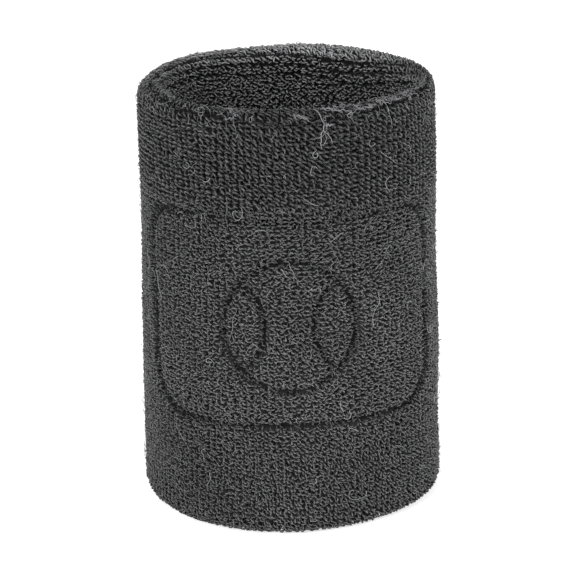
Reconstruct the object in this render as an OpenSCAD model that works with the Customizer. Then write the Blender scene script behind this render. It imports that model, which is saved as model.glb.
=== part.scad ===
// Terry sweat wristband: a double-layer knitted tube, folded at the bottom edge
// and seamed at the top edge. Millimetres, +Z up, standing on the folded edge,
// origin on the floor at the centre of the wrist opening. -Y is the front,
// where the outlined panel is.

/* [Band] */
// Height of the band, standing on its fold
band_h = 80; // [70:1:110]
// Outside diameter over the terry loops, relaxed
band_d = 55; // [50:0.5:70]
// Height of the terry loops above the ground knit
pile_t = 1.6; // [1.2:0.1:1.8]
// Thickness of the ground knit
ground_t = 0.5; // [0.4:0.05:0.6]
// Space between the two layers, where the elastic yarn lies
gap_t = 1.0; // [0.9:0.05:1.2]
// Depth that the fold is pressed flat by standing
foot_cut = 0.15; // [0.05:0.05:0.3]

/* [Hem] */
// Radius of the rolled crest at the seamed edge
crest_r = 2.35; // [2.0:0.05:2.5]
// Radius of the small roll under the crest, inside
inner_roll_r = 1.05; // [0.8:0.05:1.1]
// Drop from the crest to the seam groove outside
groove_drop_out = 2.7; // [2.4:0.1:3.0]
// Drop from the crest to the seam groove inside
groove_drop_in = 1.4; // [1.2:0.1:1.6]
// Number of seam stitches round the hem
stitch_count = 60; // [30:1:80]

/* [Yarns] */
// Diameter of the covered elastic yarn
elastic_d = 0.44; // [0.3:0.02:0.44]
// Pitch of the elastic yarn along the band
elastic_pitch = 3.5; // [2.5:0.5:7]
// Diameter of the sewing thread
thread_d = 0.32; // [0.2:0.02:0.34]

/* [Panel] */
// Height of the outlined panel's lower edge
panel_low = 21; // [16:0.5:26]
// Height of the outlined panel's upper edge
panel_high = 59.5; // [54:0.5:62]
// Half of the angle that the panel wraps round the band
panel_half_angle = 65; // [50:1:80]
// Corner radius of the panel
panel_corner = 7; // [3:0.5:8]
// Width of the groove that outlines the panel
groove_w = 1.1; // [0.8:0.1:1.5]

/* [Ball motif] */
// Radius of the plain ball motif
ball_r = 11.5; // [8:0.5:13]
// Radius of the two curved lines on the ball
ball_arc_r = 10.5; // [9:0.5:12]
// Distance of each curved line's centre from the ball's centre
ball_arc_off = 15; // [14:0.5:17]

/* [Hidden] */
$fn = 96;
wall = 2 * (pile_t + ground_t) + gap_t;
r_out = band_d / 2;                    // over the outer loops
r_og = r_out - pile_t;                 // outer face of the outer ground knit
r_oi = r_og - ground_t;                // inner face of the outer ground knit
r_mid = r_out - wall / 2;              // middle of the wall
r_in = r_out - wall;                   // wrist opening, over the inner loops
r_ig = r_in + pile_t;                  // inner face of the inner ground knit
r_io = r_ig + ground_t;                // outer face of the inner ground knit
fold_r = wall / 2;                     // radius of the bottom fold
fold_z = fold_r - foot_cut;            // height where the straight wall starts
seam_o = band_h - groove_drop_out;     // seam line at the outer face
seam_i = band_h - groove_drop_in;      // seam line at the inner face
seam_gap = 0.2;                        // half of the slot that the seam runs in
function seam_z(r) = seam_o + (seam_i - seam_o) * (r_out - r) / wall;
outer_top = seam_o - seam_gap;         // top of the outer loops
roll_r0 = r_in + inner_roll_r + 0.05;  // small roll's centre line
roll_z0 = seam_z(roll_r0) - seam_gap - inner_roll_r - 0.02;
inner_top = roll_z0 - inner_roll_r - 0.05; // top of the inner loops
groove_angle = groove_w / r_out * 180 / PI;
panel_mid = (panel_low + panel_high) / 2;
tail_angle = 14;                       // where the loose thread end hangs
tail_z = band_h - 7;                   // how far down it reaches
charcoal = [0.17, 0.17, 0.18];
dark_knit = [0.10, 0.10, 0.11];
light_thread = [0.30, 0.30, 0.31];
rubber_grey = [0.22, 0.21, 0.20];

// ---- shared shapes -------------------------------------------------------

// A plain tube between two radii and two heights.
module tube(r1, r2, z1, z2) {
    rotate_extrude($fn = 180) translate([r1, z1]) square([r2 - r1, z2 - z1]);
}

// A closed ring of round yarn.
module yarn_ring(r, z, d) {
    rotate_extrude($fn = 180) translate([r, z]) circle(d = d, $fn = 24);
}

// Closed rings of eight-sided yarn, one above the other.
module yarn_rings(r, z1, z2, pitch, d) {
    for (z = [z1 : pitch : z2])
        rotate_extrude($fn = 180) translate([r, z])
            rotate(22.5) circle(d = d, $fn = 8);
}

// Part of a tube, centred on the front, half_a degrees to each side.
module sector(r1, r2, z1, z2, half_a) {
    rotate([0, 0, -90 - half_a])
        rotate_extrude(angle = 2 * half_a, $fn = 180)
            translate([r1, z1]) square([r2 - r1, z2 - z1]);
}

// A round plug through the front wall only, turned a degrees about the band.
module plug(a, x, z, r) {
    rotate([0, 0, a]) translate([x, -r_oi + 1.5, z])
        rotate([90, 0, 0]) cylinder(r = r, h = r_out - r_oi + 3);
}

// A rectangle with round corners, wrapped on the front of the band.
// half_a is its half angle, grow widens it all round.
module wrapped_patch(z1, z2, half_a, rc) {
    phi = rc / r_out * 180 / PI;
    sector(r_og - 1, r_out + 1, z1 + rc, z2 - rc, half_a);
    sector(r_og - 1, r_out + 1, z1, z2, half_a - phi);
    for (s = [-1, 1], z = [z1 + rc, z2 - rc])
        plug(s * (half_a - phi), 0, z, rc);
}

// The outer layer of loops, with its upper end rounded into the seam groove.
module outer_loops() {
    rc = pile_t * 0.45;
    rotate_extrude($fn = 180) union() {
        translate([r_og, fold_z]) square([pile_t, outer_top - rc - fold_z]);
        translate([r_og, fold_z]) square([pile_t - rc, outer_top - fold_z]);
        translate([r_out - rc, outer_top - rc]) circle(r = rc, $fn = 32);
    }
}

// ---- the outer layer -----------------------------------------------------

module outer_terry_pile() {
    color(charcoal) difference() {
        outer_loops();
        wrapped_patch(panel_low, panel_high, panel_half_angle, panel_corner);
        // the loops part where the loose thread end lies
        rotate([0, 0, tail_angle])
            translate([-thread_d * 0.8, -r_out - 1, tail_z - 0.5])
                cube([thread_d * 1.6, 1.5, band_h]);
    }
}

module panel_terry_pile() {
    color(charcoal) difference() {
        intersection() {
            tube(r_og, r_out, fold_z, outer_top);
            wrapped_patch(panel_low + groove_w, panel_high - groove_w,
                          panel_half_angle - groove_angle,
                          panel_corner - groove_w);
        }
        plug(0, 0, panel_mid, ball_r + groove_w);
    }
}

module ball_terry_pile() {
    color(charcoal) difference() {
        intersection() {
            tube(r_og, r_out, fold_z, outer_top);
            plug(0, 0, panel_mid, ball_r);
        }
        for (s = [-1, 1]) difference() {
            plug(0, s * ball_arc_off, panel_mid, ball_arc_r + groove_w / 2);
            plug(0, s * ball_arc_off, panel_mid, ball_arc_r - groove_w / 2);
        }
    }
}

module outer_ground_knit() {
    color(dark_knit) tube(r_oi, r_og, fold_z, outer_top - 0.1);
}

module outer_elastic_yarn() {
    color(rubber_grey)
        yarn_rings(r_mid + elastic_d / 2 + 0.02, fold_z + 1.5, outer_top - 2,
                   elastic_pitch, elastic_d);
}

// ---- the inner layer -----------------------------------------------------

module inner_elastic_yarn() {
    color(rubber_grey)
        yarn_rings(r_mid - elastic_d / 2 - 0.02, fold_z + 1.5, inner_top - 2,
                   elastic_pitch, elastic_d);
}

module inner_ground_knit() {
    color(dark_knit) tube(r_ig, r_io, fold_z, inner_top - 0.1);
}

module inner_terry_pile() {
    color(charcoal) tube(r_in, r_ig, fold_z, inner_top);
}

// ---- the folded bottom edge ----------------------------------------------

// Half of a round layer of the fold, between two radii from the fold's core.
module fold_layer(a, b) {
    rotate_extrude($fn = 180) translate([r_mid, fold_z])
        intersection() {
            difference() {
                circle(r = b, $fn = 64);
                circle(r = a, $fn = 48);
            }
            translate([-fold_r - 1, -fold_z]) square([wall + 2, fold_z]);
        }
}

module fold_ground_knit() {
    color(dark_knit) fold_layer(gap_t / 2, gap_t / 2 + ground_t);
}

module fold_terry_pile() {
    color(charcoal) fold_layer(gap_t / 2 + ground_t, fold_r);
}

// ---- the seamed top edge -------------------------------------------------

module hem_crest_roll() {
    color(charcoal) rotate_extrude($fn = 180) difference() {
        translate([r_mid, band_h - crest_r]) circle(r = crest_r, $fn = 64);
        polygon([
            [r_in - 1, seam_z(r_in - 1) + seam_gap],
            [r_out + 1, seam_z(r_out + 1) + seam_gap],
            [r_out + 1, band_h - 3 * crest_r],
            [r_in - 1, band_h - 3 * crest_r]
        ]);
    }
}

module hem_inner_roll() {
    color(charcoal) yarn_ring(roll_r0, roll_z0, 2 * inner_roll_r);
}

module needle_thread() {
    r = r_out - 0.6;
    color(light_thread) yarn_ring(r, seam_z(r), thread_d);
}

module looper_thread() {
    r = r_in + 0.45;
    color(light_thread) yarn_ring(r, seam_z(r), thread_d);
}

// Where the seam thread crosses the hem, from the outer groove to the inner.
module seam_stitches() {
    d = thread_d * 0.75;
    ra = r_in + 0.45 + thread_d;
    rb = r_out - 0.6 - thread_d;
    tilt = atan2(seam_z(ra) - seam_z(rb), rb - ra);
    len = (rb - ra) / cos(tilt);
    color(light_thread)
        for (i = [0 : stitch_count - 1])
            rotate([0, 0, i * 360 / stitch_count])
                translate([ra, 0, seam_z(ra)])
                    rotate([0, 90 + tilt, 0])
                        cylinder(d = d, h = len, $fn = 24);
}

module thread_tail() {
    r = r_out - thread_d / 2 - 0.1;
    color(light_thread) rotate([0, 0, tail_angle]) translate([0, -r, 0]) {
        translate([0, 0, tail_z])
            cylinder(d = thread_d, h = outer_top - tail_z, $fn = 24);
        translate([0, 0, tail_z]) sphere(d = thread_d, $fn = 24);
    }
}

outer_terry_pile();
panel_terry_pile();
ball_terry_pile();
outer_ground_knit();
outer_elastic_yarn();
inner_elastic_yarn();
inner_ground_knit();
inner_terry_pile();
fold_ground_knit();
fold_terry_pile();
hem_crest_roll();
hem_inner_roll();
needle_thread();
looper_thread();
seam_stitches();
thread_tail();
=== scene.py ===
"""Terry sweat wristband, standing on its folded edge. Lengths below are in millimetres until a mesh is built, which is in metres."""

import math

import bpy
import numpy as np
from mathutils import Matrix, Vector


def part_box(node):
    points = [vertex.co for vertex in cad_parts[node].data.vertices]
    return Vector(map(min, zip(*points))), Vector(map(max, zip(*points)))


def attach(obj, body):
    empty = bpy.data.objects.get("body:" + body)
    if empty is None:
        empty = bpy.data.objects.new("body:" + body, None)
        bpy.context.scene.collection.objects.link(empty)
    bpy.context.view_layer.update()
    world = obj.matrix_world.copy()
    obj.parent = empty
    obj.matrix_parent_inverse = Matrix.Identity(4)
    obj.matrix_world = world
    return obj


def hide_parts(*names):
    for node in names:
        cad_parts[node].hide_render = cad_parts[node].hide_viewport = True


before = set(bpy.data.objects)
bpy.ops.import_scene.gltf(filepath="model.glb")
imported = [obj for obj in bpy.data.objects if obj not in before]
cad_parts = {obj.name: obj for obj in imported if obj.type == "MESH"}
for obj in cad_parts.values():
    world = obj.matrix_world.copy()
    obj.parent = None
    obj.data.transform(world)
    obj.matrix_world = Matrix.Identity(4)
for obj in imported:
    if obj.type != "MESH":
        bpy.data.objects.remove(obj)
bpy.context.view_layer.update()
rng = np.random.default_rng(4117)

# ---------------------------------------------------------------------------
# Sizes, from the frame
# ---------------------------------------------------------------------------
pile_lo, pile_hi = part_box("outer_terry_pile")
inner_lo, inner_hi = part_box("inner_terry_pile")
crest_lo, crest_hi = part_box("hem_crest_roll")
fold_lo, fold_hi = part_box("fold_terry_pile")
knit_lo, knit_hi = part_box("outer_ground_knit")
panel_lo, panel_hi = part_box("panel_terry_pile")
ball_lo, ball_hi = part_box("ball_terry_pile")

R = pile_hi[0] * 1000  # over the outer loops
H = crest_hi[2] * 1000  # height
PILE = R - knit_hi[0] * 1000  # height of the loops
FOLD_Z = fold_hi[2] * 1000  # where the straight wall starts
R_FOLD = PILE + 1.0  # radius of the fold, and of the crest, over the loops
R_MID = R - R_FOLD  # middle of the wall
GROUND_T = 0.5
GROOVE = 1.1
P_LOW, P_HIGH = panel_lo[2] * 1000 - GROOVE, panel_hi[2] * 1000 + GROOVE
P_MID = (P_LOW + P_HIGH) / 2
P_HALF = math.radians(65)
P_CORNER = 7.0
BALL_R = (ball_hi[2] - ball_lo[2]) * 500
ARC_R, ARC_OFF = 10.5, 15.0

WALES = 134  # columns of loops round the band
COURSE = 0.85  # height of a row of loops
YARN = 0.16  # radius of the pile yarn

# How the soft band stands: a little wider at the bottom, leaning a hair to +X
TAPER, LEAN = 0.026, 1.05


def smooth(x, a, b):
    t = np.clip((x - a) / (b - a), 0, 1)
    return t * t * (3 - 2 * t)


def waves(theta, z, terms, seed):
    """Low, smooth, seamless variation over the band, about -1 to 1."""
    g = np.random.default_rng(seed)
    out = np.zeros(np.broadcast(theta, z).shape)
    for _ in range(terms):
        n, m, p = g.integers(1, 9), g.uniform(0.03, 0.3), g.uniform(0, 2 * np.pi)
        out += np.sin(n * theta + m * z * g.choice([-1, 1]) + p) / terms**0.5
    return out


def periodic(theta, points):
    """Smooth closed curve through (degrees, value) points."""
    d = np.array(sorted(points), float)
    x = np.radians(np.r_[d[-2:, 0] - 360, d[:, 0], d[:2, 0] + 360])
    y = np.r_[d[-2:, 1], d[:, 1], d[:2, 1]]
    t = np.mod(theta + np.pi, 2 * np.pi) - np.pi
    i = np.clip(np.searchsorted(x, t) - 1, 1, len(x) - 3)
    h = x[i + 1] - x[i]
    s = (t - x[i]) / h
    m0 = (y[i + 1] - y[i - 1]) / (x[i + 1] - x[i - 1]) * h
    m1 = (y[i + 2] - y[i]) / (x[i + 2] - x[i]) * h
    return (
        (2 * s**3 - 3 * s**2 + 1) * y[i]
        + (s**3 - 2 * s**2 + s) * m0
        + (-2 * s**3 + 3 * s**2) * y[i + 1]
        + (s**3 - s**2) * m1
    )


# ---------------------------------------------------------------------------
# The band's own coordinates: theta round it (0 at the front, + to the right),
# t along the knit: up the outside, over the crest, down the inside, round the
# fold. off is the height over the ground knit.
# ---------------------------------------------------------------------------
def crest_z(theta):
    """Top of the band: the front of the rim stands a little lower than the back."""
    return H - 0.18 - 0.48 * (1 + np.cos(theta)) - 0.24 * np.sin(theta) + 0.12 * waves(theta, 0 * theta, 4, 5)


T_WALL = H - R_FOLD - FOLD_Z  # nominal straight wall
T_TURN = math.pi * R_FOLD
T_ALL = 2 * T_WALL + 2 * T_TURN


def place(theta, t, off):
    """(point, outward normal, along-t direction) on the knit."""
    theta, t, off = np.broadcast_arrays(theta, t, off)
    t = np.mod(t, T_ALL)
    top = crest_z(theta) - R_FOLD
    wall = top - FOLD_Z
    rr = R_FOLD - PILE + off  # radius of the turns at this height over the ground
    a = np.zeros(t.shape)
    r, z = np.empty(t.shape), np.empty(t.shape)
    k = t < T_WALL
    r[k], z[k] = (R_MID + rr)[k], (FOLD_Z + t / T_WALL * wall)[k]
    k = (t >= T_WALL) & (t < T_WALL + T_TURN)
    a[k] = ((t - T_WALL) / T_TURN * np.pi)[k]
    r[k], z[k] = (R_MID + rr * np.cos(a))[k], (top + rr * np.sin(a))[k]
    k = (t >= T_WALL + T_TURN) & (t < 2 * T_WALL + T_TURN)
    a[k] = np.pi
    r[k], z[k] = (
        (R_MID - rr)[k],
        (top - (t - T_WALL - T_TURN) / T_WALL * wall)[k],
    )
    k = t >= 2 * T_WALL + T_TURN
    a[k] = (np.pi + (t - 2 * T_WALL - T_TURN) / T_TURN * np.pi)[k]
    r[k], z[k] = (R_MID + rr * np.cos(a))[k], (FOLD_Z + rr * np.sin(a))[k]
    nr, nz = np.cos(a), np.sin(a)
    st, ct = np.sin(theta), np.cos(theta)
    p = np.stack([r * st, -r * ct, z], -1)
    n = np.stack([nr * st, -nr * ct, nz], -1)
    e = np.stack([-nz * st, nz * ct, nr], -1)
    return p, n, e


def settle(p):
    """The way the soft band stands: tapered, leaning, its rim thinner at the right, flat where it rests."""
    x, y, z = p[..., 0].copy(), p[..., 1].copy(), p[..., 2].copy()
    r, th = np.hypot(x, y), np.arctan2(x, -y)
    inner = smooth(R - r, 0.0, 5.2)
    right = np.clip(np.cos(th - math.radians(84)), 0, 1) ** 2.2
    r = r + 1.9 * inner * right * smooth(z, 60, 79)
    r = r + 0.10 * waves(th, z, 6, 11) * smooth(z, 0, 12)
    side = np.clip(np.cos(th - math.radians(90)), 0, 1) ** 2
    r = r + 0.55 * side * smooth(z, 8, 28) * (1 - 0.45 * smooth(z, 60, 80))
    r = r + 0.42 * (1 - smooth(z, 18, 50)) * smooth(R - r, 6.0, 2.0)
    r = r + 0.85 * np.clip(np.cos(th - math.radians(66)), 0, 1) ** 12 * (1 - smooth(z, 3, 24)) * smooth(R - r, 6.0, 2.0)
    r = r + 0.12 * np.clip(np.cos(th - math.radians(140)), 0, 1) ** 6 * smooth(z, 58, 76)
    k = 1 - TAPER * (z / H - 0.5)
    x = r * np.sin(th) * k + LEAN * (z / H - 0.5)
    y = -r * np.cos(th) * k
    z = np.where(z < 0.22, 0.22 * np.exp(np.clip((z - 0.22) / 0.22, -5, 0)), z)
    return np.stack([x, y, z], -1)


# ---------------------------------------------------------------------------
# Lines where there are no loops
# ---------------------------------------------------------------------------
def panel_line(theta, z):
    """Distance to the middle of the panel's outline, + outside it."""
    deg = np.degrees(theta)
    z = z - (0.55 + 0.75 * (1 - smooth(deg, -38, 8))) * smooth(z, 44, 58) * (1 - smooth(z, 64, 72))
    theta = theta - np.radians(3.2 * (1 - smooth(z, 24, 58)) - 1.2) * (1 - smooth(deg, -50, -20))
    corner = P_CORNER + 1.8 * (1 - smooth(z, P_MID - 5, P_MID + 5))
    x = np.abs(theta * R) - (P_HALF * R - GROOVE / 2 - corner)
    y = np.abs(z - P_MID) - ((P_HIGH - P_LOW) / 2 - GROOVE / 2 - corner)
    return (
        np.hypot(np.maximum(x, 0), np.maximum(y, 0))
        + np.minimum(np.maximum(x, y), 0)
        - corner
    )


def ball_lines(theta, z):
    """Distance to the nearest line of the ball motif."""
    x, y = R * np.sin(theta), z - P_MID
    d = np.hypot(x, y)
    out = np.abs(d - BALL_R - GROOVE / 2)
    for s in (-1, 1):
        arc = np.abs(np.hypot(x - s * ARC_OFF, y) - ARC_R)
        out = np.where(d < BALL_R, np.minimum(out, arc), out)
    return np.where(np.abs(theta) < 1.2, out, 99)


def matting(theta, z):
    """How matted the outside is, 0 to 1."""
    return np.clip(0.10 + 0.9 * (1 - smooth(z, P_HIGH - 3, P_HIGH + 7)) + 0.25 * waves(theta, z, 7, 95), 0, 1)


SEAM = [(0, 9), (12, 15), (25, 30), (45, 40), (66, 56), (90, 84), (112, 132), (133, 166), (152, 184), (170, 172),
        (-175, 154), (-160, 144), (-140, 136), (-115, 118), (-90, 98), (-62, 72), (-39, 42), (-21, 24), (-10, 12)]


def seam_t(theta):
    """Where the hem seam runs, along t: outside at the front, over the crest at the sides, inside at the back."""
    a = periodic(theta, SEAM) + 1.6 * waves(theta, 0 * theta, 5, 3)
    return T_WALL + np.radians(a) * R_FOLD


CREASE_GAP = 1.95
EDGE_GAP = 3.85  # the hem's inner edge, seen at the back
HEM_RISE = 0.80  # the hem is thick: its ground stands higher


def hem_rise(t, theta):
    return HEM_RISE * (0.72 - 0.28 * np.cos(theta)) * smooth(t, T_WALL - 0.4, T_WALL + 0.8) * (1 - smooth(t, T_WALL + T_TURN - 0.8, T_WALL + T_TURN + 2.4))


# ---------------------------------------------------------------------------
# Mesh helpers
# ---------------------------------------------------------------------------
def make(name, verts, faces, uv=None, tone=None, smooth_shade=True):
    """faces is a list of index arrays, each (count, corners). uv is per vertex, or a list to match faces, per corner."""
    me = bpy.data.meshes.new(name)
    sizes = np.concatenate([np.full(len(f), f.shape[1], np.int32) for f in faces])
    index = np.concatenate([f.ravel() for f in faces]).astype(np.int32)
    starts = np.concatenate([[0], np.cumsum(sizes)[:-1]]).astype(np.int32)
    me.vertices.add(len(verts))
    me.vertices.foreach_set("co", (np.asarray(verts) / 1000).astype(np.float32).ravel())
    me.loops.add(len(index))
    me.loops.foreach_set("vertex_index", index)
    me.polygons.add(len(sizes))
    me.polygons.foreach_set("loop_start", starts)
    me.polygons.foreach_set("loop_total", sizes)
    me.update(calc_edges=True)
    me.validate()
    if smooth_shade:
        me.shade_smooth()
    if uv is not None:
        layer = me.uv_layers.new(name="OFBake")
        flat = (
            np.concatenate([np.asarray(u).reshape(-1, 2) for u in uv])
            if isinstance(uv, list)
            else np.asarray(uv)[index]
        )
        layer.data.foreach_set("uv", flat.astype(np.float32).ravel())
    if tone is not None:
        att = me.color_attributes.new("tone", "FLOAT_COLOR", "POINT")
        col = np.ones((len(verts), 4), np.float32)
        col[:, :3] = np.asarray(tone)[:, None]
        att.data.foreach_set("color", col.ravel())
    o = bpy.data.objects.new(name, me)
    bpy.context.collection.objects.link(o)
    return o


def tubes(path, side, radius, sides, squash=1.0):
    """Closed tubes along (n, k, 3) paths. side is (n, 3), roughly square to each path. radius is (n,) or (n, k)."""
    n, k, _ = path.shape
    d = np.empty_like(path)
    d[:, 1:-1] = path[:, 2:] - path[:, :-2]
    d[:, 0], d[:, -1] = path[:, 1] - path[:, 0], path[:, -1] - path[:, -2]
    d /= np.linalg.norm(d, axis=-1, keepdims=True) + 1e-12
    s = side[:, None, :] - (side[:, None, :] * d).sum(-1, keepdims=True) * d
    s /= np.linalg.norm(s, axis=-1, keepdims=True) + 1e-12
    u = np.cross(d, s)
    rad = np.broadcast_to(np.asarray(radius, float).reshape(n, -1), (n, k))[..., None, None]
    a = np.arange(sides) / sides * 2 * np.pi
    ring = s[:, :, None] * np.cos(a)[:, None] + squash * u[:, :, None] * np.sin(a)[:, None]
    v = path[:, :, None] + rad * ring
    tubes.ring = ring
    base = (np.arange(n) * k * sides)[:, None, None]
    i = np.arange(k - 1)[None, :, None] * sides
    j = np.arange(sides)[None, None, :]
    j2 = (j + 1) % sides
    a0, a1 = base + i + j, base + i + j2
    quads = np.stack([a0, a1, a1 + sides, a0 + sides], -1).reshape(-1, 4)
    cap0 = (np.arange(n) * k * sides)[:, None] + np.arange(sides)[None, ::-1]
    cap1 = (np.arange(n) * k * sides + (k - 1) * sides)[:, None] + np.arange(sides)
    return v.reshape(-1, 3), [quads, cap0, cap1]


def fit_uv(a, b):
    """Two per-vertex numbers stretched over the UV square."""
    def one(x):
        return 0.02 + 0.96 * (x - x.min()) / max(x.max() - x.min(), 1e-9)

    return np.stack([one(a), one(b)], -1)


# ---------------------------------------------------------------------------
# Terry loops
# ---------------------------------------------------------------------------
COURSES = int(round(T_ALL / COURSE))
wale, course = np.meshgrid(np.arange(WALES), np.arange(COURSES))
wale, course = wale.ravel() + 0.5, course.ravel() + 0.5
# between the tall loops there are shorter ones, pushed down
short_rows = np.arange(int((2 * T_WALL + T_TURN) / T_ALL * COURSES))
short_rows = short_rows[(short_rows + 0.5) / COURSES * T_ALL < T_WALL + T_TURN + 24]
short_rows = np.r_[short_rows, np.arange(int((2 * T_WALL + T_TURN) / T_ALL * COURSES), COURSES)]
w2, c2 = np.meshgrid(np.arange(WALES), short_rows)
# and where the outside is matted, plies that have come away from the yarn
ply_rows = np.arange(int((P_HIGH + 4 - FOLD_Z) / COURSE))
w3, c3 = np.meshgrid(np.arange(WALES), ply_rows)
short = np.r_[np.zeros(len(wale), bool), np.ones(w2.size + w3.size, bool)]
ply = np.r_[np.zeros(len(wale) + w2.size, bool), np.ones(w3.size, bool)]
wale = np.r_[wale, w2.ravel() + 1.0, w3.ravel() + 1.0]
course = np.r_[course, c2.ravel() + 1.0, c3.ravel() + 0.5]
count = len(wale)
th = wale / WALES * 2 * np.pi - np.pi
t = course / COURSES * T_ALL
# the knit is never quite even
inner_now = (t > T_WALL) & (t < 2 * T_WALL + T_TURN)
even = np.where(inner_now, 1.15, 1.0) * np.where(short, 1.6, 1.0)
th = th + (rng.normal(0, 0.08, count) * even + 0.10 * waves(th, t, 8, 21)) / R
t = t + rng.normal(0, 0.07, count) * even + 0.14 * waves(th, t, 8, 22)
t = np.mod(t, T_ALL)
th = np.mod(th + np.pi, 2 * np.pi) - np.pi

outside = t < T_WALL
crest = (t >= T_WALL) & (t < T_WALL + T_TURN)
inside_wall = (t >= T_WALL + T_TURN) & (t < 2 * T_WALL + T_TURN)
fold = t >= 2 * T_WALL + T_TURN
z_out = FOLD_Z + t  # height on the outer wall

d_panel = np.where(outside, panel_line(th, z_out), 99)
d_ball = np.where(outside, ball_lines(th, z_out), 99)
seam_d = np.abs(t - seam_t(th))
crease_d = np.abs(t - seam_t(th) - CREASE_GAP)
edge_d = np.abs(t - seam_t(th) - EDGE_GAP - 0.2 * waves(th, 0 * th, 6, 4))
at_back = smooth(np.abs(th), 1.1, 1.9)
d_line = np.minimum(np.abs(d_panel), d_ball)
# the grooves are not equally deep all along
deepness = np.clip(0.92 + 0.30 * waves(th, z_out, 6, 91) - 0.50 * (np.abs(z_out - P_HIGH) < 2.5) * (1 - smooth(np.abs(np.degrees(th) - 4), 14, 30)), 0.25, 1.15)
wide = 0.16 * deepness + 0.34 * smooth(np.abs(th), 0.75, 1.1) * deepness  # they open where the band curves away
seam_w = 0.32 + 0.04 * smooth(np.abs(th), 0.9, 1.7)  # wider where it lies inside
keep = (d_line > wide) & (seam_d > seam_w) & (crease_d > 0.24 * at_back) & (edge_d > 0.20 * at_back)
keep &= ~(ply & (matting(th, z_out) < 0.45))
keep &= ~(crest & short & (np.random.default_rng(29).random(count) < 0.30 + 0.45 * np.cos(th)))

# the way each loop lies, in degrees from level, + up to the right
in_panel = d_panel < 0
deg = np.degrees(th)
lie = -12 - 24 * smooth(deg, -45, -5) + 4 * smooth(deg, 20, 50)
low = -18 - 12 * (1 - smooth(z_out, 12, 20)) - 14 * smooth(deg, 5, 35) * (1 - smooth(z_out, 12, 22)) - 8 * smooth(deg, 5, 30) + 26 * smooth(deg, 32, 58)
lie = np.where(outside & (z_out < P_LOW), low, lie)
lie = np.where(in_panel, -15 + 8 * smooth(deg, -35, 0) - 3 * smooth(deg, 10, 50), lie)
lie = np.where(inside_wall, -6.0, lie)
lie = np.where(crest, -42.0 - 5 * np.cos(th), lie)
# worn places are matted: the pushed-down loops have come up again and lie every way
matted = np.where(outside, matting(th, z_out), 0.85)
matted = np.where(crest, 1.0 - 0.85 * (0.5 + 0.5 * np.cos(th)), matted)
lie = lie + 6 * waves(th, t, 9, 31) + rng.normal(0, 15, count) * np.where(inside_wall, 1.4, np.sqrt(even) * (1 + 0.45 * matted * ~crest))
phi = np.radians(lie)

# size and attitude of each loop
width = rng.normal(1.07, 0.10, count)
height = PILE * rng.normal(0.97, 0.035, count)
sink = (1 - smooth(d_line - wide, 0.0, 1.1)) * deepness
height -= 0.95 * sink * np.where(outside, 1, 0)
hem_sink = 1 - smooth(seam_d - seam_w, 0.0, 0.6)
hem_sink = np.maximum(hem_sink, 0.6 * at_back * (1 - smooth(crease_d - 0.24, 0.0, 0.6)))
hem_sink = np.maximum(hem_sink, 0.6 * (1 - smooth(edge_d - 0.20, 0.0, 0.6)) * at_back)
phi = phi * (1 - 0.85 * hem_sink)  # beside the seam they lie along it
width *= 1 - 0.35 * hem_sink * np.where(crest, 1, 0)
height -= 0.5 * hem_sink
height = np.where(short, (0.66 + 0.29 * matted) * height, height)
width = np.where(inside_wall, width * 0.72, width)
width = np.where(crest, width * (1.12 + 0.13 * np.cos(th)), width)
width = np.where(outside, width * (1 - 0.26 * matted) * np.where(ply, 0.80, 1.0), width)
lean_down = np.where(outside, 0.10 - 0.45 * smooth(z_out, P_LOW - 3, P_HIGH + 3), 0.0)
slump = lean_down + 0.12 * waves(th, t, 7, 33) + rng.normal(0, 0.07, count)  # how far the tip leans, + down
skew = rng.normal(0.0, 0.10, count) * even  # and along the loop
twist = np.radians(rng.normal(0, 11, count)) * even
stray = (rng.random(count) < 0.02) & ~short & ~crest
height = np.where(stray, height + rng.uniform(0.05, 0.20, count), height)
tone = np.clip(rng.normal(1.0, 0.11, count) + 0.03 * waves(th, t, 10, 41), 0.45, 1.7)
tone = np.where(crest, tone * np.clip(rng.normal(1.0, 0.16, count), 0.6, 1.5), tone)
# painted shade: the short loops, pushed down between the tall ones, are painted darker, less so where the outside is
# matted
tone = np.where(short, (0.66 + 0.28 * matted) * tone, tone)
front = 0.5 + 0.5 * np.cos(th)
# painted light: the inside wall's loops are painted about 2.3 times paler, and paler still just inside the rim, and the
# crest's loops are painted darker at the front and up to about 2.6 times paler at the back
tone *= np.where(inside_wall, 2.26 + 0.45 * (1 - smooth(t - T_WALL - T_TURN, 1.5, 4.0)), 1.0) * np.where(crest, 0.76 + 1.86 * (1 - front) ** 1.3, 1.0)
# painted shade and light on the outside: darker on the upper front and on the left at mid height, darker on the left
# side, paler on both side edges as a painted sheen, paler on the right side, and darker towards the bottom
front_weight = (0.5 + 0.5 * np.cos(th - 0.2)) ** 2
outside_painted_shade = front_weight * (0.52 * smooth(z_out, 56, 70) + 0.20 * smooth(z_out, 42, 58) * (1 - smooth(z_out, 58, 70)))
outside_painted_shade += 0.08 * smooth(-th, 0.6, 1.2) * smooth(z_out, 20, 30) * (1 - smooth(z_out, 55, 62))
tone *= np.where(outside, 1.20 - outside_painted_shade - 0.15 * (1 - smooth(z_out, 14, 26)) - 0.17 * smooth(-th, 0.6, 1.2) + 0.14 * smooth(np.abs(th), 0.7, 1.2) + 0.10 * smooth(th, 0.6, 1.2), 1.0)
# painted shade: loops sunk in the grooves and beside the hem seam and its creases are painted darker
tone *= (1 - 0.40 * sink) * (1 - 0.35 * hem_sink)

raised = hem_rise(t, th)
base, nrm, up = place(th, t, raised)
height = height - raised
across = np.cross(up, nrm)  # to the right, seen from outside


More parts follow.
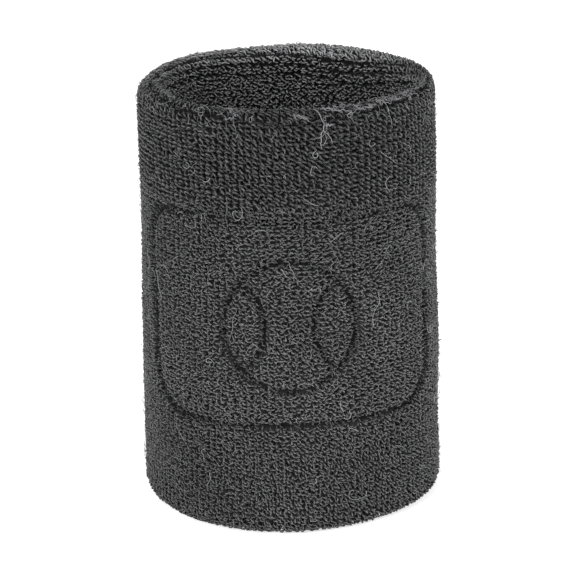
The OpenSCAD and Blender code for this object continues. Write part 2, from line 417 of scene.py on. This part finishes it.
def loops(pick, name, points, sides):
    """A piece of closed yarn arches standing on the ground knit."""
    i = np.flatnonzero(pick)
    n = len(i)
    along = across[i] * np.cos(phi[i])[:, None] + up[i] * np.sin(phi[i])[:, None]
    over = np.cross(nrm[i], along)
    over *= np.where((over * up[i]).sum(-1) > 0, -1.0, 1.0)[:, None]  # points downwards
    u = np.linspace(-0.06, 1.06, points)[None] * np.pi
    lift = np.where(np.sin(u) > 0, np.abs(np.sin(u)) ** 0.55, -0.25)
    open_ = 0.62 + 0.38 * np.clip(lift, 0, 1)
    cu = np.cos(np.clip(u, 0, np.pi))
    w = width[i] / 2
    x = -np.sign(cu) * np.abs(cu) ** 0.85 * open_ * w[:, None]
    h = lift * (height[i] - YARN)[:, None]
    s = np.clip(lift, 0, 1) ** 1.5
    x = x + skew[i][:, None] * s
    y = slump[i][:, None] * s + x * np.sin(twist[i])[:, None] * s + 0.07 * np.sin(2.6 * u + 6.28 * rng.random(n)[:, None]) * s
    p = (
        base[i][:, None]
        + along[:, None] * x[..., None]
        + over[:, None] * y[..., None]
        + nrm[i][:, None] * h[..., None]
        + rng.normal(0, 0.030, (n, points, 3))
    )
    rad = YARN * (1 - np.where(crest[i], 0.18, 0.29 * matted[i]) - 0.04 * ply[i])[:, None] * rng.normal(1.0, 0.08, n)[:, None] * (1 + 0.10 * np.sin(u))
    v, f = tubes(p, over, rad, sides, squash=0.95)
    v = settle(v)
    per = points * sides
    # painted shade: yarn deep down towards the legs, and yarn sides facing away from the band's outward direction, are
    # darker, with a painted highlight on the tops; this painted shade is weaker on the back of the crest and where the
    # outside is matted
    face = (tubes.ring * nrm[i][:, None, None]).sum(-1)
    deep_in = np.clip(lift, 0, 1)[..., None] ** 2
    leg = np.where(crest[i], 0.05 + 0.50 * (1 - front[i]), 0.20 + 0.45 * matted[i] * outside[i])[:, None, None]
    low = np.where(crest[i], 0.08 + 0.66 * (1 - front[i]) ** 1.7, 0.16 + 0.24 * matted[i] * outside[i])[:, None, None]
    shade = tone[i][:, None, None] * (leg + (1 - leg) * deep_in) * (low + (1.32 - low) * smooth(face, 0.0, 1.0))
    uv = fit_uv(np.repeat(th[i], per), np.repeat(t[i], per))
    o = make(name, v, f, uv=uv, tone=shade.reshape(-1))
    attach(o, "root")
    return o


pieces = {}
panel_in = outside & (d_panel < 0)
ball_in = panel_in & (np.hypot(R * np.sin(th), z_out - P_MID) < BALL_R + GROOVE / 2)
field = outside & ~panel_in
deep = t - (T_WALL + T_TURN)


def share(prefix, pick, parts, points, sides):
    """The same, cut into sectors round the band."""
    sector = np.floor((th + np.pi) / (2 * np.pi) * parts).astype(int) % parts
    for k in range(parts):
        pieces[f"{prefix}_{k}"] = loops(pick & (sector == k), f"{prefix}_{k}", points, sides)


share("outer_loops", keep & field & ~short, 8, 10, 4)
share("outer_short_loops", keep & field & short & ~ply, 7, 8, 4)
share("outer_plies", keep & field & ply, 3, 8, 4)
pieces["panel_loops_left"] = loops(keep & panel_in & ~ball_in & (th < 0) & ~short, "panel_loops_left", 10, 4)
pieces["panel_loops_right"] = loops(keep & panel_in & ~ball_in & (th >= 0) & ~short, "panel_loops_right", 10, 4)
pieces["panel_short_left"] = loops(keep & panel_in & ~ball_in & (th < 0) & short & ~ply, "panel_short_left", 9, 4)
pieces["panel_short_right"] = loops(keep & panel_in & ~ball_in & (th >= 0) & short & ~ply, "panel_short_right", 9, 4)
pieces["panel_plies"] = loops(keep & panel_in & ~ball_in & ply, "panel_plies", 8, 4)
pieces["ball_loops"] = loops(keep & ball_in, "ball_loops", 10, 4)
share("crest_loops", keep & crest, 2, 10, 4)
share("fold_loops", keep & fold, 2, 8, 4)
share("inner_loops_upper", keep & inside_wall & (deep < 26), 6, 9, 4)
share("inner_loops_lower", keep & inside_wall & (deep >= 26), 4, 7, 3)

# ---------------------------------------------------------------------------
# Ground knit: one cloth, up the outside, over at the hem and down the inside,
# closed round its own thickness
# ---------------------------------------------------------------------------
AROUND = 268
ts = np.r_[
    np.linspace(0, T_WALL, 84, endpoint=False),
    T_WALL + np.linspace(0, T_TURN, 28, endpoint=False),
    T_WALL + T_TURN + np.linspace(0, T_WALL, 84, endpoint=False),
    2 * T_WALL + T_TURN + np.linspace(0, T_TURN, 28, endpoint=False),
]


def knit_cloth():
    """The ground cloth, its raw edges meeting at the hem."""
    # start and end at the hem: the cut is inside the crest
    cut = T_WALL + 0.25 * T_TURN
    s = np.mod(np.r_[np.linspace(cut + 0.12, cut + T_ALL - 0.12, 184)], T_ALL)
    ang = np.arange(AROUND) / AROUND * 2 * np.pi - np.pi
    a, b = np.meshgrid(ang, s, indexing="ij")
    rib = 0.035 * np.cos(a * WALES) + 0.02 * np.cos(b / COURSE * 2 * np.pi)
    hem = hem_rise(b, a)
    skin, _, _ = place(a, b, rib + hem)
    back, _, _ = place(a, b, hem - GROUND_T)
    n, m = a.shape
    grid = settle(np.concatenate([skin, back[:, ::-1]], 1))
    k = 2 * m
    idx = np.arange(n * k).reshape(n, k)
    nxt = np.roll(idx, -1, 0)
    quads = np.stack(
        [idx, nxt, np.roll(nxt, -1, 1), np.roll(idx, -1, 1)], -1
    ).reshape(-1, 4)
    cu = np.arange(n + 1) / n
    cv = np.arange(k + 1) / k
    u0, v0 = np.meshgrid(cu[:-1], cv[:-1], indexing="ij")
    u1, v1 = np.meshgrid(cu[1:], cv[1:], indexing="ij")
    uv = np.stack(
        [np.stack([u0, v0], -1), np.stack([u1, v0], -1), np.stack([u1, v1], -1), np.stack([u0, v1], -1)], 2
    )
    # paler where the loops above are matted, not along the lines: the painted shade under the loops is lifted there and
    # stays dark along the grooves
    z = FOLD_Z + b
    line = np.minimum(np.abs(panel_line(a, z)), ball_lines(a, z))
    pale = np.where(b < T_WALL, 1 + 2.6 * matting(a, z) * smooth(line, 0.5, 1.2), 1.0)
    pale = np.concatenate([pale, pale[:, ::-1]], 1)
    return make("ground_knit", grid.reshape(-1, 3), [quads], uv=[uv * 0.98 + 0.01], tone=pale.reshape(-1))


ground = knit_cloth()
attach(ground, "root")
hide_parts("outer_ground_knit", "inner_ground_knit", "fold_ground_knit")

# ---------------------------------------------------------------------------
# Elastic yarn: one covered rubber yarn round each layer, between them
# ---------------------------------------------------------------------------


def elastic(name, radius, z0, z1, node):
    pitch, per = 3.5, 60
    turns = int((z1 - z0) / pitch)
    a = np.linspace(0, turns * 2 * np.pi, turns * per + 1)
    z = z0 + a / (2 * np.pi) * pitch
    p = np.stack([radius * np.sin(a), -radius * np.cos(a), z], -1)
    v, f = tubes(p[None], np.array([[0, 0, 1.0]]), np.array([0.21]), 8)
    wrap = np.repeat(a, 8)
    o = make(name, settle(v), f, uv=fit_uv(wrap, np.tile(np.arange(8.0), len(a))))
    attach(o, "root")
    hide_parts(node)
    return o


el_lo, el_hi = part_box("outer_elastic_yarn")
il_lo, il_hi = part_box("inner_elastic_yarn")
elastic_out = elastic("elastic_outer", R_MID + 0.235, el_lo[2] * 1000 + 0.3, el_hi[2] * 1000 - 0.4, "outer_elastic_yarn")
elastic_in = elastic("elastic_inner", R_MID - 0.235, il_lo[2] * 1000 + 0.3, il_hi[2] * 1000 - 0.4, "inner_elastic_yarn")

# ---------------------------------------------------------------------------
# Hem seam: threads in the grooves, crossings, loose end
# ---------------------------------------------------------------------------


def closed_tube(path, side, radius, sides):
    """One endless tube."""
    k = len(path)
    d = np.roll(path, -1, 0) - np.roll(path, 1, 0)
    d /= np.linalg.norm(d, axis=-1, keepdims=True)
    s = side - (side * d).sum(-1, keepdims=True) * d
    s /= np.linalg.norm(s, axis=-1, keepdims=True)
    u = np.cross(d, s)
    a = np.arange(sides) / sides * 2 * np.pi
    v = path[:, None] + radius * (s[:, None] * np.cos(a)[:, None] + u[:, None] * np.sin(a)[:, None])
    idx = np.arange(k * sides).reshape(k, sides)
    nxt = np.roll(idx, -1, 0)
    quads = np.stack([idx, nxt, np.roll(nxt, -1, 1), np.roll(idx, -1, 1)], -1).reshape(-1, 4)
    u0, v0 = np.meshgrid(np.arange(k) / k, np.arange(sides) / sides, indexing="ij")
    uv = np.stack([
        np.stack([u0, v0], -1), np.stack([u0 + 1 / k, v0], -1),
        np.stack([u0 + 1 / k, v0 + 1 / sides], -1), np.stack([u0, v0 + 1 / sides], -1)], 2)
    return v.reshape(-1, 3), [quads], [uv * 0.98 + 0.01]


def hem_thread(name, shift, off, wobble, seed, node, stitches=60):
    k = 1200
    a = np.arange(k) / k * 2 * np.pi - np.pi
    tt = seam_t(a) + shift
    bob = np.cos(a * stitches)
    p, n, e = place(a, tt + wobble * np.sin(a * stitches) + 0.1 * waves(a, 0 * a, 6, seed), off + 0.28 * bob + 0.12 * waves(a, 0 * a, 7, seed + 1))
    v, f, uv = closed_tube(p, n, 0.15, 8)
    o = make(name, settle(v), f, uv=uv)
    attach(o, "root")
    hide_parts(node)
    return o


needle = hem_thread("needle_thread_v", 0.0, 0.20, 0.12, 51, "needle_thread")
looper = hem_thread("looper_thread_v", CREASE_GAP, 0.25, 0.2, 61, "looper_thread")


def crossings():
    n = 60
    a = (np.arange(n) + 0.5) / n * 2 * np.pi - np.pi
    s = np.linspace(0, 1, 6)[None]
    t0 = seam_t(a)[:, None]
    tt = t0 + s * CREASE_GAP
    p, nn, _ = place(a[:, None] + 0 * s, tt, -0.25 + 0 * tt)
    v, f = tubes(p, nn[:, 2], np.full(n, 0.12), 6)
    per = 36
    o = make("seam_crossings", settle(v), f, uv=fit_uv(np.repeat(a, per), np.tile(np.repeat(np.arange(6.0), 6), n)))
    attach(o, "root")
    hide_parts("seam_stitches")
    return o


cross_pieces = crossings()


def spline(points, n):
    """Smooth path through points (Catmull-Rom), evenly sampled."""
    q = np.asarray(points, float)
    q = np.vstack([2 * q[0] - q[1], q, 2 * q[-1] - q[-2]])
    out = []
    seg = len(q) - 3
    for x in np.linspace(0, seg, n):
        i = min(int(x), seg - 1)
        u = x - i
        a, b, c, d = q[i : i + 4]
        out.append(0.5 * (2 * b + (c - a) * u + (2 * a - 5 * b + 4 * c - d) * u**2 + (3 * b - a - 3 * c + d) * u**3))
    return np.array(out)


def on_band(points, n):
    """Path through (degrees, t or height on the outer wall, height over the ground)."""
    q = spline(points, n)
    p, nn, _ = place(np.radians(q[:, 0]), q[:, 1], q[:, 2])
    return p, nn


def threads(name, runs, radius, sides, n=26, tones=None, node=None):
    """A piece of loose thread ends, each a closed tube."""
    path = np.array([on_band(r, n)[0] for r in runs])
    nn = np.array([on_band(r, n)[1][n // 2] for r in runs])
    taper = 1 - 0.55 * np.linspace(-1, 1, n)[None] ** 6
    v, f = tubes(path, nn, np.asarray(radius).reshape(-1, 1) * taper, sides)
    per = n * sides
    k = len(runs)
    o = make(
        name, settle(v), f,
        uv=fit_uv(np.repeat(np.arange(k, dtype=float), per), np.tile(np.repeat(np.arange(n, dtype=float), sides), k)),
        tone=np.repeat(tones if tones is not None else np.ones(k), per),
    )
    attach(o, "root")
    if node:
        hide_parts(node)
    return o




def curly(deg0, deg1, over, seed, n=34, curl=0.30, turns=9):
    """A slack stretch of hem thread between two angles, lying over the front of the rim."""
    g = np.random.default_rng(seed)
    x = np.linspace(0, 1, n)
    a = deg0 + (deg1 - deg0) * x + math.degrees(curl / R) * np.sin(turns * 6.28 * x + g.uniform(0, 6)) * g.uniform(0.3, 1.3, n)
    b = T_WALL + over + 0.4 * np.sin(3.1 * x + g.uniform(0, 6)) + curl * np.cos(turns * 6.28 * x + g.uniform(0, 6)) * g.uniform(0.3, 1.2, n)
    return np.stack([a, b, 1.72 + 0.22 * np.sin(5 * 6.28 * x + g.uniform(0, 6))], -1)


def frizz(count, degs, over, seed):
    """Short kinked stretches of broken hem thread."""
    g = np.random.default_rng(seed)
    runs = []
    for _ in range(count):
        head, turn = g.uniform(0, 6.28), g.choice([-1, 1])
        a, b = [g.uniform(*degs)], [T_WALL + g.uniform(*over)]
        for _ in range(17):
            head += turn * g.uniform(0.1, 1.3)
            if g.random() < 0.22:
                turn = -turn
            step = g.uniform(0.08, 0.24)
            a.append(a[-1] + math.degrees(math.cos(head) * step / R) * 1.5)
            b.append(b[-1] + math.sin(head) * step)
        runs.append(np.stack([a, b, 1.80 + 0.14 * np.sin(np.arange(18) * g.uniform(0.4, 1.2) + g.uniform(0, 6))], -1))
    return runs


tail_runs = [
    [(10.6, T_WALL + 3.4, 1.7), (11.6, T_WALL + 2.6, 1.95), (12.4, T_WALL + 1.9, 1.9), (12.9, T_WALL + 0.9, 2.0), (13.6, T_WALL + 0.5, 2.0), (13.3, T_WALL - 0.2, 2.0), (13.3, T_WALL - 0.7, 2.0), (12.4, T_WALL - 1.3, 1.95), (12.5, T_WALL - 2.4, 1.95), (12.2, T_WALL - 3.1, 1.95), (12.6, T_WALL - 3.9, 2.0)],
    [(13.3, T_WALL - 0.6, 1.9), (14.0, T_WALL - 1.1, 2.05), (14.7, T_WALL - 1.3, 2.05), (15.5, T_WALL - 1.9, 2.0), (16.1, T_WALL - 2.3, 2.0), (16.6, T_WALL - 3.2, 1.9)],
    [(12.4, T_WALL - 3.2, 1.9), (13.2, T_WALL - 3.3, 2.0), (13.9, T_WALL - 2.7, 2.0), (14.3, T_WALL - 2.2, 2.0), (14.1, T_WALL - 1.4, 1.9)],
    [(13.9, T_WALL + 0.2, 1.75), (14.5, T_WALL + 0.0, 2.0), (15.0, T_WALL + 0.35, 2.0), (15.5, T_WALL + 0.0, 2.0), (16.1, T_WALL + 0.2, 2.0), (17.0, T_WALL + 0.0, 1.75)],
    curly(13.5, 23.0, 2.9, 5, turns=4, curl=0.20),
    curly(27.0, 36.0, 2.6, 6, turns=8, curl=0.34),
    curly(38.0, 50.0, 2.9, 8, turns=9, curl=0.36),
    curly(50.0, 66.0, 3.2, 9, turns=6, curl=0.30),
    curly(2.5, 8.5, 1.5, 10, turns=4, curl=0.55),
    curly(-26.0, -12.0, 2.9, 11, turns=4, curl=0.14),
]
tail = threads("thread_tail_v", tail_runs, [0.08, 0.07, 0.055, 0.08, 0.065, 0.055, 0.055, 0.05, 0.055, 0.05], 6, n=44,
               tones=np.array([1.1, 1.0, 0.85, 1.3, 1.25, 1.1, 1.1, 0.8, 0.9, 0.7]), node="thread_tail")
hem_frizz = threads("hem_frizz", frizz(26, (16, 62), (1.6, 3.8), 91) + frizz(8, (-45, -8), (1.6, 3.4), 92), np.full(34, 0.042), 5, n=40,
                    tones=np.random.default_rng(93).uniform(0.7, 1.3, 34))

# ---------------------------------------------------------------------------
# Lint and fuzz: pale fibres that cling to the loops, and short whiskers
# ---------------------------------------------------------------------------


def fibre_paths(n, k, length, curl, lift, seed, where="outer"):
    """Random walks over the surface. Returns paths (n, k, 3) and one normal each."""
    g = np.random.default_rng(seed)
    th0 = g.uniform(-np.pi, np.pi, n)
    t0 = g.uniform(0.5, T_WALL + 5, n) if where == "outer" else g.uniform(0, T_ALL, n)
    head = g.uniform(0, 2 * np.pi, n)
    bend = g.normal(0, curl, n)
    ln = length(g, n)
    a, b, o = np.empty((n, k)), np.empty((n, k)), np.empty((n, k))
    a[:, 0], b[:, 0] = th0, t0
    base_off = g.uniform(*lift, n)
    w1, w2, ph = g.uniform(0.05, 0.22, n), g.uniform(2, 5, n), g.uniform(0, 6.3, n)
    for j in range(1, k):
        step = ln / (k - 1)
        head = head + bend * step + g.normal(0, 0.20, n)
        bend = bend + g.normal(0, 0.24, n)
        a[:, j] = a[:, j - 1] + np.cos(head) * step / R
        b[:, j] = b[:, j - 1] + np.sin(head) * step
    x = np.linspace(0, 1, k)[None]
    o = base_off[:, None] + w1[:, None] * np.sin(w2[:, None] * x * 2 + ph[:, None])
    if where == "outer":
        b = np.clip(b, 0.3, T_WALL + 7)
    p, nn, _ = place(a, b, o)
    return p, nn[:, k // 2], a, b


def fibres(name, n, k, sides, radius, length, curl, lift, seed, tones, where="outer"):
    p, nn, a, b = fibre_paths(n, k, length, curl, lift, seed, where)
    g = np.random.default_rng(seed + 1)
    rad = g.uniform(*radius, n)
    v, f = tubes(p, nn, rad, sides)
    per = k * sides
    o = make(name, settle(v), f, uv=fit_uv(np.repeat(np.arange(n, dtype=float), per), np.tile(np.repeat(np.arange(k, dtype=float), sides), n)),
             tone=np.repeat(g.uniform(*tones, n), per))
    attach(o, "root")
    return o


lint = fibres("lint_fibres", 290, 16, 5, (0.024, 0.046), lambda g, n: g.gamma(2.2, 1.05, n) + 0.8, 0.5, (1.66, 1.86), 71, (0.55, 1.35))
lint_small = fibres("lint_small", 520, 8, 4, (0.028, 0.05), lambda g, n: g.uniform(0.6, 1.7, n), 0.8, (1.55, 1.8), 73, (0.4, 1.0))


def whiskers(name, n, k, seed):
    """Short fibre ends that stand out of the loops."""
    g = np.random.default_rng(seed)
    a0 = g.uniform(-np.pi, np.pi, n)
    b0 = g.uniform(0, T_WALL + T_TURN + 12, n)
    x = np.linspace(0, 1, k)[None]
    reach = g.gamma(2.2, 0.17, n)[:, None] + 0.2
    head, ln = g.uniform(0, 2 * np.pi, n)[:, None], g.uniform(0.2, 0.9, n)[:, None]
    curve = g.normal(0, 0.5, n)[:, None]
    a = a0[:, None] + (np.cos(head) * x + np.sin(head) * curve * x**2) * ln / R
    b = b0[:, None] + (np.sin(head) * x + np.cos(head) * curve * x**2) * ln
    p, nn, e = place(a, b, 1.25 + reach * x)
    rad = g.uniform(0.018, 0.034, n)[:, None] * (1 - 0.5 * x)
    v, f = tubes(p, e[:, k // 2], rad, 3)
    per = k * 3
    o = make(name, settle(v), f, uv=fit_uv(np.repeat(a0, per), np.repeat(b0, per)),
             tone=np.repeat(g.uniform(0.3, 0.8, n), per))
    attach(o, "root")
    return o


fuzz = whiskers("fuzz_whiskers", 7000, 5, 81)

# Which CAD solids the loops stand for
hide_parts("outer_terry_pile")
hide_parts("panel_terry_pile")
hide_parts("ball_terry_pile")
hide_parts("hem_crest_roll")
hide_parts("hem_inner_roll", "inner_terry_pile")
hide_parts("fold_terry_pile")

# ---------------------------------------------------------------------------
# Materials
# ---------------------------------------------------------------------------


def link(nt, a, b):
    nt.links.new(a, b)


def yarn_material(name, dark, light, scale=2400.0, rough=0.92, sheen=0.22):
    """Spun yarn: dark and light fibres mixed, times the tone attribute: each loop's own tone together with painted
    light and shade.
    """
    m = bpy.data.materials.new(name)
    m.use_nodes = True
    nt = m.node_tree
    p = nt.nodes["Principled BSDF"]
    p.inputs["Roughness"].default_value = rough
    p.inputs["Specular IOR Level"].default_value = 0.22
    p.inputs["Sheen Weight"].default_value = sheen
    p.inputs["Sheen Roughness"].default_value = 0.45
    p.inputs["Sheen Tint"].default_value = (0.62, 0.63, 0.66, 1)
    tex = nt.nodes.new("ShaderNodeTexCoord")
    att = nt.nodes.new("ShaderNodeVertexColor")
    att.layer_name = "tone"
    fine = nt.nodes.new("ShaderNodeTexNoise")
    fine.inputs["Scale"].default_value = scale
    fine.inputs["Detail"].default_value = 2.0
    link(nt, tex.outputs["Object"], fine.inputs["Vector"])
    wide = nt.nodes.new("ShaderNodeTexNoise")
    wide.inputs["Scale"].default_value = 120.0
    wide.inputs["Detail"].default_value = 3.0
    link(nt, tex.outputs["Object"], wide.inputs["Vector"])
    add = nt.nodes.new("ShaderNodeMath")
    add.operation = "MULTIPLY_ADD"
    add.inputs[1].default_value = 0.3
    link(nt, wide.outputs["Fac"], add.inputs[0])
    link(nt, fine.outputs["Fac"], add.inputs[2])
    ramp = nt.nodes.new("ShaderNodeValToRGB")
    ramp.color_ramp.elements[0].position = 0.42
    ramp.color_ramp.elements[0].color = (*dark, 1)
    ramp.color_ramp.elements[1].position = 0.86
    ramp.color_ramp.elements[1].color = (*light, 1)
    link(nt, add.outputs[0], ramp.inputs["Fac"])
    mul = nt.nodes.new("ShaderNodeMix")
    mul.data_type = "RGBA"
    mul.blend_type = "MULTIPLY"
    mul.inputs[0].default_value = 1.0
    link(nt, ramp.outputs["Color"], mul.inputs[6])
    link(nt, att.outputs["Color"], mul.inputs[7])
    link(nt, mul.outputs[2], p.inputs["Base Color"])
    return m


def knit_material():
    """Ground knit: dark stitches, painted near-black and darker than the pile yarn as painted shade, seen between the
    loops and in the grooves.
    """
    m = bpy.data.materials.new("ground_knit_m")
    m.use_nodes = True
    nt = m.node_tree
    p = nt.nodes["Principled BSDF"]
    p.inputs["Roughness"].default_value = 0.95
    p.inputs["Specular IOR Level"].default_value = 0.05
    p.inputs["Sheen Weight"].default_value = 0.0
    tex = nt.nodes.new("ShaderNodeTexCoord")
    v = nt.nodes.new("ShaderNodeTexVoronoi")
    v.inputs["Scale"].default_value = 1300.0
    link(nt, tex.outputs["Object"], v.inputs["Vector"])
    n = nt.nodes.new("ShaderNodeTexNoise")
    n.inputs["Scale"].default_value = 700.0
    n.inputs["Detail"].default_value = 3.0
    link(nt, tex.outputs["Object"], n.inputs["Vector"])
    # painted shade: the knit's colour is near-black, far below the pile yarn's
    ramp = nt.nodes.new("ShaderNodeValToRGB")
    ramp.color_ramp.elements[0].position = 0.3
    ramp.color_ramp.elements[0].color = (0.006, 0.006, 0.006, 1)
    ramp.color_ramp.elements[1].position = 0.75
    ramp.color_ramp.elements[1].color = (0.020, 0.020, 0.021, 1)
    link(nt, n.outputs["Fac"], ramp.inputs["Fac"])
    att = nt.nodes.new("ShaderNodeVertexColor")
    att.layer_name = "tone"
    mul = nt.nodes.new("ShaderNodeMix")
    mul.data_type = "RGBA"
    mul.blend_type = "MULTIPLY"
    mul.inputs[0].default_value = 1.0
    link(nt, ramp.outputs["Color"], mul.inputs[6])
    link(nt, att.outputs["Color"], mul.inputs[7])
    link(nt, mul.outputs[2], p.inputs["Base Color"])
    bump = nt.nodes.new("ShaderNodeBump")
    bump.inputs["Strength"].default_value = 0.6
    bump.inputs["Distance"].default_value = 0.0002
    link(nt, v.outputs["Distance"], bump.inputs["Height"])
    link(nt, bump.outputs["Normal"], p.inputs["Normal"])
    return m


terry = yarn_material("charcoal_terry_m", (0.062, 0.062, 0.0632), (0.165, 0.1655, 0.1685))
lint_m = yarn_material("lint_m", (0.18, 0.184, 0.19), (0.36, 0.365, 0.375), rough=0.8, sheen=0.2)
thread_m = yarn_material("seam_thread_m", (0.020, 0.020, 0.021), (0.060, 0.060, 0.062), rough=0.85, sheen=0.05)
tail_m = yarn_material("thread_tail_m", (0.14, 0.14, 0.145), (0.30, 0.30, 0.31), rough=0.75, sheen=0.2)
elastic_m = yarn_material("elastic_yarn_m", (0.035, 0.034, 0.033), (0.07, 0.069, 0.067), rough=0.7, sheen=0.05)
knit_m = knit_material()

for o in list(pieces.values()) + [fuzz]:
    o.data.materials.append(terry)
for o in (lint, lint_small):
    o.data.materials.append(lint_m)
for o in (tail, hem_frizz):
    o.data.materials.append(tail_m)
for o in (needle, looper, cross_pieces):
    o.data.materials.append(thread_m)
for o in (elastic_out, elastic_in):
    o.data.materials.append(elastic_m)
ground.data.materials.append(knit_m)
for o in (needle, looper, cross_pieces, elastic_out, elastic_in):
    att = o.data.color_attributes.new("tone", "FLOAT_COLOR", "POINT")
    att.data.foreach_set("color", np.ones(len(o.data.vertices) * 4, np.float32))

# ---------------------------------------------------------------------------
# Floor, light, camera
# ---------------------------------------------------------------------------
floor_me = bpy.data.meshes.new("floor")
floor_me.from_pydata([(-3, -3, 0), (3, -3, 0), (3, 3, 0), (-3, 3, 0)], [], [(0, 1, 2, 3)])
floor = bpy.data.objects.new("floor", floor_me)
floor.location.z = -0.0002
bpy.context.collection.objects.link(floor)
fm = bpy.data.materials.new("floor_m")
fm.use_nodes = True
fp = fm.node_tree.nodes["Principled BSDF"]
fp.inputs["Base Color"].default_value = (0.9, 0.9, 0.9, 1)
fp.inputs["Roughness"].default_value = 1.0
fp.inputs["Specular IOR Level"].default_value = 0.0
fp.inputs["Emission Color"].default_value = (1, 1, 1, 1)
fp.inputs["Emission Strength"].default_value = 0.60
floor.data.materials.append(fm)

world = bpy.data.worlds.new("studio")
world.use_nodes = True
# a white room, dimmer overhead
sky = world.node_tree
sky_co = sky.nodes.new("ShaderNodeTexCoord")
sky_xyz = sky.nodes.new("ShaderNodeSeparateXYZ")
sky_ramp = sky.nodes.new("ShaderNodeMapRange")
sky_ramp.inputs["From Min"].default_value = 0.15
sky_ramp.inputs["From Max"].default_value = 0.85
sky_ramp.inputs["To Min"].default_value = 0.85
sky_ramp.inputs["To Max"].default_value = 0.40
link(sky, sky_co.outputs["Generated"], sky_xyz.inputs[0])
link(sky, sky_xyz.outputs["Z"], sky_ramp.inputs["Value"])
link(sky, sky_ramp.outputs[0], sky.nodes["Background"].inputs[1])
sky.nodes["Background"].inputs[0].default_value = (1, 1, 1, 1)
bpy.context.scene.world = world


def area(name, loc, size, power, target=(0, 0, 0.04)):
    light = bpy.data.lights.new(name, "AREA")
    light.shape = "DISK"
    light.size = size
    light.energy = power
    o = bpy.data.objects.new(name, light)
    o.location = loc
    o.rotation_euler = (Vector(target) - Vector(loc)).to_track_quat("-Z", "Y").to_euler()
    bpy.context.collection.objects.link(o)
    return o


area("key", (-0.60, -0.85, 0.60), 0.45, 7.5)
area("fill", (0.80, -0.65, 0.45), 0.6, 4.0)
area("top", (0.0, 0.25, 1.1), 0.6, 1.5)

DIST, ELEV, F_PX, ROLL = 0.400, 18.4, 5.305 * 400.0, -1.8
cam_data = bpy.data.cameras.new("camera")
cam_data.sensor_width = 36.0
cam_data.sensor_fit = "HORIZONTAL"
cam_data.lens = F_PX / 576.0 * 36.0
cam_data.shift_x = -0.3 / 576.0
cam_data.shift_y = -8.9 / 576.0
cam_data.clip_start = 0.01
cam = bpy.data.objects.new("camera", cam_data)
e = math.radians(ELEV)
centre = Vector((0, 0, H / 2000))
back = Vector((0, -math.cos(e), math.sin(e)))
right = Vector((1, 0, 0))
upv = back.cross(right)
rot = Matrix((right, upv, back)).transposed() @ Matrix.Rotation(math.radians(ROLL), 3, "Z")
cam.matrix_world = Matrix.Translation(centre + back * DIST) @ rot.to_4x4()
bpy.context.collection.objects.link(cam)
bpy.context.scene.camera = cam
bpy.context.scene.view_settings.view_transform = "Standard"
